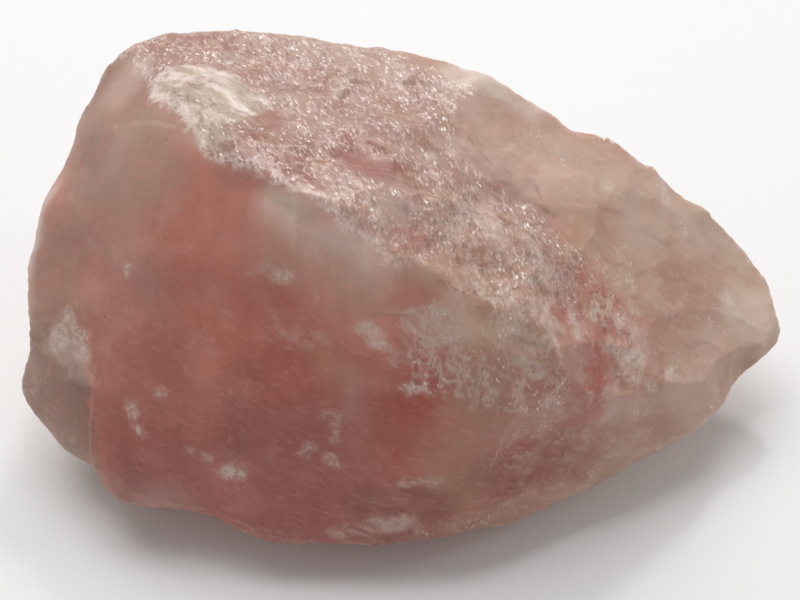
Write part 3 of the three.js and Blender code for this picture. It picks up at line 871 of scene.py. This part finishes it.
# Thin flakes are pale along their edges, where they are full of air; painted shade darkens the ground at the
# foot of each flake.
phase = flake_phase(tree, place)
broken = fade(tree, cloud(tree, place, 2.0, 3.0), 0.42, 0.62)
flake_foot_shadow = product(tree, fade(tree, phase, 0.12, 0.0), flaky, broken, 0.12)
colour = dimmed(colour, number(tree, "SUBTRACT", 1.0, flake_foot_shadow))
flake_edges = product(tree, fade(tree, phase, 0.6, 1.0), flaky, broken, 0.65)
colour = mixed(tree, flake_edges, colour, PALE_RIM)

# Sugary ground: small dashes and facets stand at every angle, some pale with cracks behind them.
on_top = fade(tree, kept("top"), -0.5, 0.5)
dash_way = vector(tree, "ADD", vector(tree, "SCALE", DASH_WAY, on_top), vector(
    tree, "SCALE", DROP_WAY, number(tree, "SUBTRACT", 1.0, on_top)))
grains = cells(tree, drawn_out(tree, tight, dash_way, 2.8), 0.65)
fine = cells(tree, drawn_out(tree, tight, dash_way, 3.6), 0.3)
# The pale dashes and strokes are partly pale cracked grains and partly painted glints off the facets.
frost_and_glints = None
for made, start, end, share in ((grains, 0.65, 0.85, 0.35), (fine, 0.55, 0.85, 0.9)):
    pick = add(tree, "ShaderNodeSeparateColor")
    join(tree, made.outputs["Color"], pick.inputs[0])
    spot = fade(tree, made.outputs["Distance"], 0.5, 0.2)
    spot = product(tree, spot, fade(tree, pick.outputs[0], start, end), share)
    frost_and_glints = spot if frost_and_glints is None else highest(tree, frost_and_glints, spot)
strokes = number(tree, "ABSOLUTE", swing(tree, drawn_out(tree, tight, dash_way, 4.0), 0.8, 1.0, 2.0))
in_lengths = fade(tree, cloud(tree, place, 1.7, 3.0), 0.46, 0.6)
strokes = product(tree, fade(tree, strokes, 0.04, 0.0), in_lengths, 0.7)
frost_and_glints = highest(tree, frost_and_glints, product(tree, strokes, sugar))
crumbs = fade(tree, cloud(tree, place, 5, 4.0), 0.4, 0.6)
lip = product(tree, fade(tree, kept("top"), -0.2, 0.4), fade(tree, kept("top"), 2.2, 0.8), 0.55)
lip = product(tree, lip, fade(tree, cloud(tree, tight, 0.8, 4.0), 0.4, 0.56))
clumps = product(tree, fade(tree, cloud(tree, place, 5, 5.0), 0.52, 0.66), plain, 0.4)
scattered = highest(tree, sugar, number(tree, "MULTIPLY", flaky, 0.5), clumps, 0.02)
colour = dimmed(colour, number(tree, "ADD", 1.0, product(tree, swing(tree, tight, 1.3, 0.2, 4.0), sugar)))
paler = product(tree, crumbs, highest(tree, sugar, clumps), 0.14)
colour = mixed(tree, paler, colour, MILK)
frost_and_glints = product(tree, frost_and_glints, scattered, number(tree, "ADD", 0.45, number(tree, "MULTIPLY", crumbs, 0.75)))
colour = mixed(tree, highest(tree, frost_and_glints, product(tree, lip, sugar)), colour, FROST_AND_GLINT)
# Painted highlights: a few near-white specks on the sugary ground stand in for glints off tiny facets.
glints = cells(tree, drawn_out(tree, tight, dash_way, 2.0), 0.36)
pick = add(tree, "ShaderNodeSeparateColor")
join(tree, glints.outputs["Color"], pick.inputs[0])
painted_glint = product(
    tree, fade(tree, glints.outputs["Distance"], 0.5, 0.3), fade(tree, pick.outputs[0], 0.9, 0.94),
    highest(tree, sugar, clumps, number(tree, "MULTIPLY", flaky, 0.5)), number(tree, "ADD", 0.2, crumbs))
colour = mixed(tree, painted_glint, colour, PAINTED_GLINT)

# The cream crust, bruises, chips, cracks and sharp rims, and painted shadows under the edges of slabs.
crust = fade(tree, number(tree, "ADD", kept("crust"), swing(tree, place, 2.2, 5.0, 5.0)), -0.5, 0.6)
streaky = drawn_out(tree, tight, CRUST_WAY, 3.5)
crusty = fade(tree, cloud(tree, streaky, 1.0, 5.0), 0.36, 0.58)
# The crust's pale streaks are partly its own cream colour and partly painted highlights.
cream = mixed(tree, fade(tree, cloud(tree, streaky, 2.2, 4.0), 0.34, 0.56), GREENISH, FROST_AND_GLINT)
covered = product(tree, crust, number(tree, "ADD", 0.4, number(tree, "MULTIPLY", crusty, 0.6)))
colour = mixed(tree, covered, colour, cream)
# Painted shade: thin dark lines along the streaks stand in for the shadows in the crust's grooves.
crease_shadows = number(tree, "ABSOLUTE", swing(tree, streaky, 0.9, 1.0, 3.0))
crease_shadows = product(tree, fade(tree, crease_shadows, 0.04, 0.0), fade(tree, cloud(tree, place, 2.5, 3.0), 0.45, 0.6))
colour = dimmed(colour, number(tree, "SUBTRACT", 1.0, product(tree, crease_shadows, crust, 0.35)))
crumbled = fade(tree, cloud(tree, tight, 0.6, 4.0), 0.38, 0.62)
bruise = fade(tree, number(tree, "ADD", kept("bruise"), swing(tree, tight, 1.4, 1.8, 3.0)), -0.8, 0.7)
colour = mixed(tree, product(tree, bruise, number(tree, "ADD", 0.6, crumbled), 0.5), colour, CREAM)
chip = number(tree, "ADD", kept("chip"), swing(tree, tight, 1.8, 3.0, 4.0))
slivers = fade(tree, cloud(tree, drawn_out(tree, tight, HAIR_WAY, 2.5), 0.7, 4.0), 0.36, 0.62)
inside = product(tree, fade(tree, chip, -0.6, 0.6), number(tree, "ADD", 0.2, slivers), 0.4)
colour = mixed(tree, inside, colour, PALE_RIM)
crack = product(tree, fade(tree, kept("crack"), -0.6, -0.1), number(tree, "ADD", 0.25, broken), 0.24)
rim_share = number(tree, "ADD", 0.15, number(tree, "MULTIPLY", highest(tree, sugar, flaky), 0.3))
rim = product(tree, fade(tree, kept("rim"), 0.5, 0.1), broken, rim_share)
colour = mixed(tree, highest(tree, crack, rim), colour, PALE_RIM)
# Painted shadow under the edges of slabs.
slab_shadow = product(tree, fade(tree, kept("slab_shadow"), -0.4, -0.1), number(tree, "ADD", 0.3, broken), 0.32)
colour = mixed(tree, slab_shadow, colour, DARK_OLIVE)

# A few dark specks of iron and soot.
specks = cells(tree, shifted(tree, place, 0.5, 0.3), 4.0)
pick = add(tree, "ShaderNodeSeparateColor")
join(tree, specks.outputs["Color"], pick.inputs[0])
speck = product(
    tree, fade(tree, specks.outputs["Distance"], 0.05, 0.025), fade(tree, pick.outputs[1], 0.5, 0.6), 0.55)
colour = mixed(tree, speck, colour, IRON)
tree.links.new(colour, look.inputs["Base Color"])

# Facets tilt the surface by chance, and fine unevenness lies over it all.
tilts = vector(tree, "SUBTRACT", grains.outputs["Color"], (0.5, 0.5, 0.5))
finer = vector(tree, "SUBTRACT", fine.outputs["Color"], (0.5, 0.5, 0.5))
tilts = vector(tree, "ADD", vector(tree, "SCALE", tilts, 0.25), vector(tree, "SCALE", finer, 0.35))
tilts = vector(tree, "SCALE", tilts, highest(tree, sugar, number(tree, "MULTIPLY", flaky, 0.35)))
stepped = add(tree, "ShaderNodeBump")
stepped.inputs["Distance"].default_value = 0.15 * MM
join(tree, number(tree, "MULTIPLY", phase, -1.0), stepped.inputs["Height"])
join(tree, number(tree, "MULTIPLY", flaky, 0.4), stepped.inputs["Strength"])
uneven = add(tree, "ShaderNodeBump")
uneven.inputs["Distance"].default_value = 0.3 * MM
relief = lowest(tree, 1.0, highest(
    tree, number(tree, "MULTIPLY", sugar, 0.4), crust, number(tree, "MULTIPLY", bruise, 0.5),
    number(tree, "MULTIPLY", flaky, 0.5), clumps, 0.2))
join(tree, number(tree, "MULTIPLY", relief, 0.8), uneven.inputs["Strength"])
join(tree, cloud(tree, tight, 1.5, 6.0), uneven.inputs["Height"])
join(tree, stepped.outputs[0], uneven.inputs["Normal"])
tilted = vector(tree, "NORMALIZE", vector(tree, "ADD", uneven.outputs[0], tilts))
tree.links.new(tilted, look.inputs["Normal"])

gloss = add(tree, "ShaderNodeMapRange")
join(tree, cloud(tree, place, 5, 4.0), gloss.inputs["Value"])
gloss.inputs["From Min"].default_value = 0.3
gloss.inputs["From Max"].default_value = 0.7
gloss.inputs["To Min"].default_value = 0.42
gloss.inputs["To Max"].default_value = 0.58
dull = number(tree, "MULTIPLY", number(tree, "SUBTRACT", highest(tree, crust, bruise), sugar), 0.18)
tree.links.new(number(tree, "ADD", gloss.outputs[0], dull), look.inputs["Roughness"])
look.inputs["IOR"].default_value = 1.55
look.inputs["Subsurface Weight"].default_value = 0.3
look.inputs["Subsurface Radius"].default_value = (1.0, 0.82, 0.75)
look.inputs["Subsurface Scale"].default_value = 1.8 * MM


# --- The table ------------------------------------------------------------------------------------
# A plain pale table top, big enough to fill the view from every side.

TABLE_SIZE = 40 * (high[0] - low[0])
table_mesh = bpy.data.meshes.new("table")
reach = TABLE_SIZE / 2
table_mesh.from_pydata(
    [(-reach, -reach, 0), (reach, -reach, 0), (reach, reach, 0), (-reach, reach, 0)], [], [(0, 1, 2, 3)]
)
table = bpy.data.objects.new("table", table_mesh)
bpy.context.scene.collection.objects.link(table)
laminate = bpy.data.materials.new("table_top")
laminate.use_nodes = True
laminate.node_tree.nodes["Principled BSDF"].inputs["Base Color"].default_value = (0.9, 0.9, 0.9, 1)
laminate.node_tree.nodes["Principled BSDF"].inputs["Roughness"].default_value = 0.6
table_mesh.materials.append(laminate)


# --- Light and camera -------------------------------------------------------------------------------
# A broad soft light hangs over the back of the stone, two small ones behind it and beside it make the
# facets glitter, and the room is filled with pale light.

def lamp(name, place, size, power, target=(0, 0, 0.02)):
    """A square soft light that faces the stone."""
    light = bpy.data.lights.new(name, "AREA")
    light.size = size
    light.energy = power
    hung = bpy.data.objects.new(name, light)
    hung.location = place
    hung.rotation_euler = (Vector(target) - Vector(place)).to_track_quat("-Z", "Y").to_euler()
    bpy.context.scene.collection.objects.link(hung)


lamp("soft_light", (-0.15, 0.35, 0.75), 0.7, 4.5)
lamp("spark_light", (0.1, 0.5, 0.55), 0.09, 0.9)
lamp("side_light", (0.8, 0.1, 0.5), 0.2, 0.7)

room = bpy.data.worlds.new("room")
room.use_nodes = True
room.node_tree.nodes["Background"].inputs["Color"].default_value = (1.0, 1.0, 1.0, 1)
room.node_tree.nodes["Background"].inputs["Strength"].default_value = 0.35
bpy.context.scene.world = room
bpy.context.scene.view_settings.view_transform = "Standard"

LOOK_AT = Vector((-1.0, -2.9, 21.1)) * MM
DISTANCE = 0.238
RISE = 0.8727  # 50 degrees above the table
camera = bpy.data.objects.new("camera", bpy.data.cameras.new("camera"))
camera.data.lens = 85
camera.data.clip_start = 0.01
back = Matrix.Rotation(-RISE, 3, "X") @ Vector((0, -1, 0))
camera.location = LOOK_AT + back * DISTANCE
camera.rotation_euler = (-back).to_track_quat("-Z", "Y").to_euler()
bpy.context.scene.collection.objects.link(camera)
bpy.context.scene.camera = camera
